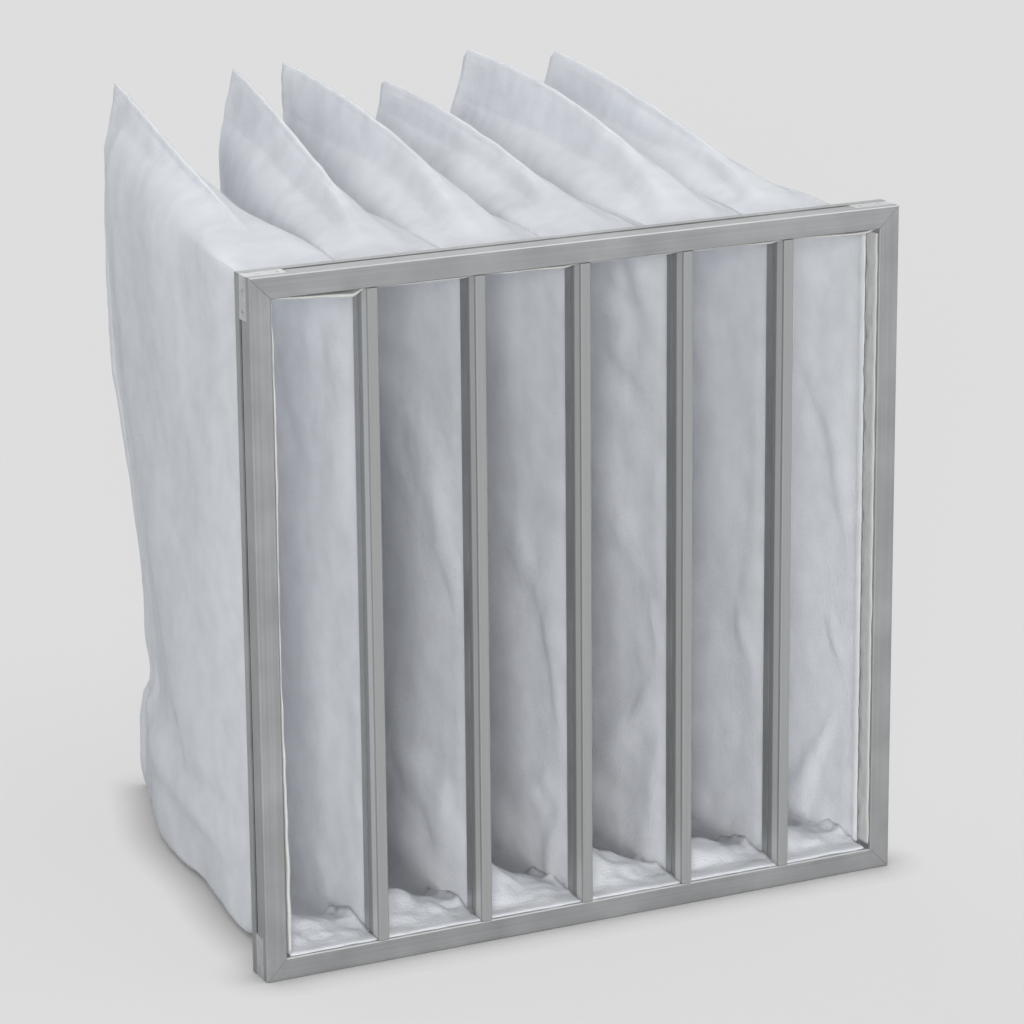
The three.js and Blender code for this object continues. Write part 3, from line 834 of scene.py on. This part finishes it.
class BagFilterFinish(bpy.types.PropertyGroup):
    """Colours and surfaces."""

    metal_colour: bpy.props.FloatVectorProperty(
        name="Aluminium", description="Colour of the header", subtype="COLOR", size=3,
        default=(0.42, 0.427, 0.43), min=0, max=1)
    key_colour: bpy.props.FloatVectorProperty(
        name="Corner keys", description="Colour of the corner keys", subtype="COLOR", size=3,
        default=(0.69, 0.70, 0.71), min=0, max=1)
    cloth_colour: bpy.props.FloatVectorProperty(
        name="Cloth", description="Colour of the pockets", subtype="COLOR", size=3,
        default=(0.915, 0.925, 0.945), min=0, max=1)
    # painted shade: a cream hem colour, painted darker than the pocket cloth that the floor's hem fold keeps
    hem_shaded_colour: bpy.props.FloatVectorProperty(
        name="Hem", description="Colour of the glued hems", subtype="COLOR", size=3,
        default=(0.72, 0.72, 0.70), min=0, max=1)
    bar_colour: bpy.props.FloatVectorProperty(
        name="Divider bars", description="Colour of the bars' front faces", subtype="COLOR", size=3,
        default=(0.355, 0.36, 0.355), min=0, max=1)
    bar_metallic: bpy.props.FloatProperty(
        name="Bar metallic", description="How metallic the divider bars are",
        default=0.35, subtype="FACTOR")
    metal_roughness: bpy.props.FloatProperty(
        name="Metal roughness", description="Roughness of the header", default=0.42, subtype="FACTOR")
    metallic: bpy.props.FloatProperty(
        name="Metallic", description="How metallic the header is", default=0.7, subtype="FACTOR")
    cloth_roughness: bpy.props.FloatProperty(
        name="Cloth roughness", description="Roughness of the cloth", default=0.95, subtype="FACTOR")
    cloth_glow: bpy.props.FloatProperty(
        name="Cloth glow", description="Share of the light that the cloth lets through",
        default=0.38, subtype="FACTOR")
    hem_glow: bpy.props.FloatProperty(
        name="Hem glow", description="Share of the light that the hems let through",
        default=0.25, subtype="FACTOR")


class BagFilterStage(bpy.types.PropertyGroup):
    """Floor, light and camera."""

    floor_size: bpy.props.FloatProperty(
        name="Floor size", description="Side of the floor", default=40.0, unit="LENGTH")
    floor_colour: bpy.props.FloatVectorProperty(
        name="Floor", description="Colour of the floor", subtype="COLOR", size=3,
        default=(0.48, 0.48, 0.476), min=0, max=1)
    floor_pale: bpy.props.FloatVectorProperty(
        name="Floor paleness", description="Even grey mixed into the floor as the camera sees it",
        subtype="COLOR", size=3, default=(0.91, 0.91, 0.9), min=0, max=1)
    floor_evenness: bpy.props.FloatProperty(
        name="Floor evenness", description="Share of the backdrop's even grey in the floor", default=0.6,
        subtype="FACTOR")
    shadow_reach: bpy.props.FloatProperty(
        name="Shadow reach", description="How far the contact shadow reaches",
        default=0.04, unit="LENGTH")
    shadow_depth: bpy.props.FloatProperty(
        name="Shadow depth", description="How dark the contact shadow gets",
        default=0.85, subtype="FACTOR")
    sky_level: bpy.props.FloatProperty(
        name="Sky level", description="Strength of the sky light",
        default=0.36)
    top_level: bpy.props.FloatProperty(
        name="Top light", description="Strength of the overhead light",
        default=1.2)
    back_level: bpy.props.FloatProperty(
        name="Back light", description="Strength of the light behind the pockets", default=0.65)
    side_level: bpy.props.FloatProperty(
        name="Side light", description="Strength of the front left light",
        default=2.55)
    lens: bpy.props.FloatProperty(name="Lens", description="Focal length", default=146.18, unit="CAMERA")


# Operators

class BAGFILTER_OT_pockets(bpy.types.Operator):
    """Builds the six cloth pockets and their hems"""

    bl_idname = "bagfilter.pockets"
    bl_label = "Build pockets"

    def execute(self, context):
        cloth, finish = context.scene.bag_filter_cloth, context.scene.bag_filter_finish
        fleece = fleece_group()
        walls = fleece_material("pocket_fleece", finish.cloth_colour, fleece, 0.5, finish.cloth_glow, finish)
        # hem strips at the top and sides: cream cloth painted darker than the pocket cloth as shade
        hems = fleece_material("hem_fleece", finish.hem_shaded_colour, fleece, 0.1, finish.hem_glow, finish)
        for number in range(POCKETS):
            name = "filter_pocket_%d" % (number + 1)
            pocket = mesh_object("cloth_pocket_%d" % (number + 1), *pocket_mesh(cloth, number), walls, True)
            strips, floor_fold = hem_strips(cloth, number)
            hem = mesh_object("hem_strip_%d" % (number + 1), *joined(strips), hems, True)
            fold = mesh_object("floor_fold_%d" % (number + 1), *floor_fold, walls, True)
            for piece in (pocket, hem, fold):
                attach(piece, "root")
                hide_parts(name)
        return {"FINISHED"}


class BAGFILTER_OT_header(bpy.types.Operator):
    """Finishes the header's rails, corner keys, divider bars and clips"""

    bl_idname = "bagfilter.header"
    bl_label = "Finish header"

    def execute(self, context):
        finish = context.scene.bag_filter_finish
        grain = grain_group()
        level = metal_material("header_metal_level", finish, GRAIN_LEVEL, grain)
        upright = metal_material("header_metal_upright", finish, GRAIN_UPRIGHT, grain)
        bars = bar_material("divider_metal", finish, GRAIN_UPRIGHT, grain)
        keys = key_material(finish, grain)
        repaint(["frame_rail_top", "frame_rail_bottom"], level)
        repaint(["frame_rail_left", "frame_rail_right"], upright)
        repaint(["divider_bar_%d" % (i + 1) for i in range(BARS)], bars)
        repaint(["divider_clip_%d" % (i + 1) for i in range(BARS)], upright)
        repaint([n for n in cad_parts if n.startswith("corner_key")], keys)
        return {"FINISHED"}


class BAGFILTER_OT_stage(bpy.types.Operator):
    """Sets the floor, the lights and the camera"""

    bl_idname = "bagfilter.stage"
    bl_label = "Set stage"

    def execute(self, context):
        stage = context.scene.bag_filter_stage
        self.add_floor(stage)
        self.add_world(context, stage)
        self.add_light(context, "light_top", TOP_FROM, TOP_SPREAD, stage.top_level)
        self.add_light(context, "light_side", SIDE_FROM, SIDE_SPREAD, stage.side_level)
        self.add_light(context, "light_back", BACK_FROM, BACK_SPREAD, stage.back_level)
        self.add_camera(context, stage)
        context.scene.view_settings.view_transform = "Standard"
        context.scene.cycles.max_bounces = LIGHT_BOUNCES
        return {"FINISHED"}

    def add_floor(self, stage):
        """A large plain floor, lightly clouded."""
        half = stage.floor_size * 500
        corners = [(-half, -half, 0), (half, -half, 0), (half, half, 0), (-half, half, 0)]
        material, tree, shader = new_material("stage_floor")
        clouds = node(tree, "ShaderNodeTexNoise", {"Scale": 3.0, "Detail": 2.0})
        base = np.array(stage.floor_colour)
        tone = colour_mix(tree, tuple(base * 0.995), tuple(base), clouds.outputs["Fac"])
        shader.inputs["Roughness"].default_value = 1.0
        shader.inputs["Specular IOR Level"].default_value = 0.0
        near = node(tree, "ShaderNodeAmbientOcclusion", {"Distance": stage.shadow_reach}, samples=1)
        deep = ramp(tree, 0.5, 1.0, 1.0 - stage.shadow_depth, 1.0)
        shaded = node(tree, "ShaderNodeVectorMath", operation="SCALE")
        even = node(tree, "ShaderNodeVectorMath", {0: tuple(stage.floor_pale)}, operation="SCALE")
        pale = node(tree, "ShaderNodeEmission", {"Strength": 1.0})
        tree.links.new(near.outputs["AO"], deep.inputs["Value"])
        tree.links.new(deep.outputs[0], shaded.inputs["Scale"])
        tree.links.new(deep.outputs[0], even.inputs["Scale"])
        tree.links.new(tone, shaded.inputs[0])
        tree.links.new(shaded.outputs[0], shader.inputs["Base Color"])
        tree.links.new(even.outputs[0], pale.inputs["Color"])
        path = node(tree, "ShaderNodeLightPath")
        share = node(tree, "ShaderNodeMath", {1: stage.floor_evenness}, operation="MULTIPLY")
        mix = node(tree, "ShaderNodeMixShader")
        tree.links.new(path.outputs["Is Camera Ray"], share.inputs[0])
        tree.links.new(share.outputs[0], mix.inputs[0])
        tree.links.new(shader.outputs["BSDF"], mix.inputs[1])
        tree.links.new(pale.outputs[0], mix.inputs[2])
        tree.links.new(mix.outputs[0], tree.nodes["Material Output"].inputs["Surface"])
        mesh_object("stage_floor", corners, [(0, 1, 2, 3)], material)

    def add_world(self, context, stage):
        """An even sky that lights the part, and a pale backdrop for the camera."""
        world = bpy.data.worlds.new("stage_sky")
        world.use_nodes = True
        tree = world.node_tree
        tree.nodes.clear()
        sky_values = {"Color": (*SKY_COLOUR, 1.0), "Strength": stage.sky_level}
        sky = node(tree, "ShaderNodeBackground", sky_values)
        pale = node(tree, "ShaderNodeBackground", {"Color": (*BACKGROUND_GREY, 1.0), "Strength": 1.0})
        path = node(tree, "ShaderNodeLightPath")
        mix = node(tree, "ShaderNodeMixShader")
        out = node(tree, "ShaderNodeOutputWorld")
        seen = node(tree, "ShaderNodeMath", operation="MAXIMUM")
        tree.links.new(path.outputs["Is Camera Ray"], seen.inputs[0])
        tree.links.new(path.outputs["Is Glossy Ray"], seen.inputs[1])
        tree.links.new(seen.outputs[0], mix.inputs[0])
        tree.links.new(sky.outputs[0], mix.inputs[1])
        tree.links.new(pale.outputs[0], mix.inputs[2])
        tree.links.new(mix.outputs[0], out.inputs["Surface"])
        context.scene.world = world

    def add_light(self, context, name, source, spread, strength):
        """A distant soft light that shines from source towards the origin. spread is in degrees."""
        light = bpy.data.lights.new(name, "SUN")
        light.energy = strength
        light.angle = math.radians(spread)
        obj = bpy.data.objects.new(name, light)
        obj.location = source
        obj.rotation_euler = Vector(source).to_track_quat("Z", "Y").to_euler()
        context.scene.collection.objects.link(obj)

    def add_camera(self, context, stage):
        """The camera, at the place, aim and roll worked out from the header's corners."""
        yaw, pitch, roll = (math.radians(angle) for angle in (CAMERA_YAW, CAMERA_PITCH, CAMERA_ROLL))
        level = math.cos(pitch)
        forward = Vector((math.sin(yaw) * level, math.cos(yaw) * level, -math.sin(pitch)))
        right = Vector((math.cos(yaw), -math.sin(yaw), 0.0))
        up = right.cross(forward)
        turned_right = right * math.cos(roll) + up * math.sin(roll)
        turned_up = up * math.cos(roll) - right * math.sin(roll)
        camera = bpy.data.cameras.new("camera")
        camera.lens = stage.lens
        camera.sensor_width = SENSOR_WIDTH
        obj = bpy.data.objects.new("camera", camera)
        basis = Matrix((turned_right, turned_up, -forward)).transposed().to_4x4()
        basis.translation = Vector(CAMERA_PLACE)
        obj.matrix_world = basis
        context.scene.collection.objects.link(obj)
        context.scene.camera = obj


class BAGFILTER_PT_panel(bpy.types.Panel):
    """Lists the builder's steps and settings"""

    bl_idname = "BAGFILTER_PT_panel"
    bl_label = "Bag filter"
    bl_space_type = "VIEW_3D"
    bl_region_type = "UI"
    bl_category = "Bag Filter"

    def draw(self, context):
        layout = self.layout
        for operator in OPERATORS:
            layout.operator(operator.bl_idname)
        for setting in GROUPS:
            group = getattr(context.scene, setting)
            box = layout.box()
            for name in group.bl_rna.properties.keys():
                if name not in ("rna_type", "name"):
                    box.prop(group, name)


GROUPS = {
    "bag_filter_cloth": BagFilterCloth,
    "bag_filter_finish": BagFilterFinish,
    "bag_filter_stage": BagFilterStage,
}
OPERATORS = (BAGFILTER_OT_pockets, BAGFILTER_OT_header, BAGFILTER_OT_stage)


def register():
    """Registers the settings, the operators and the panel."""
    for cls in (*GROUPS.values(), *OPERATORS, BAGFILTER_PT_panel):
        bpy.utils.register_class(cls)
    for name, cls in GROUPS.items():
        setattr(bpy.types.Scene, name, bpy.props.PointerProperty(type=cls))


def unregister():
    """Takes them away again."""
    for name in GROUPS:
        delattr(bpy.types.Scene, name)
    for cls in reversed((*GROUPS.values(), *OPERATORS, BAGFILTER_PT_panel)):
        bpy.utils.unregister_class(cls)


def main():
    """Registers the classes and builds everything."""
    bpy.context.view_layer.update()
    register()
    bpy.ops.bagfilter.pockets()
    bpy.ops.bagfilter.header()
    bpy.ops.bagfilter.stage()


if __name__ == "__main__":
    main()
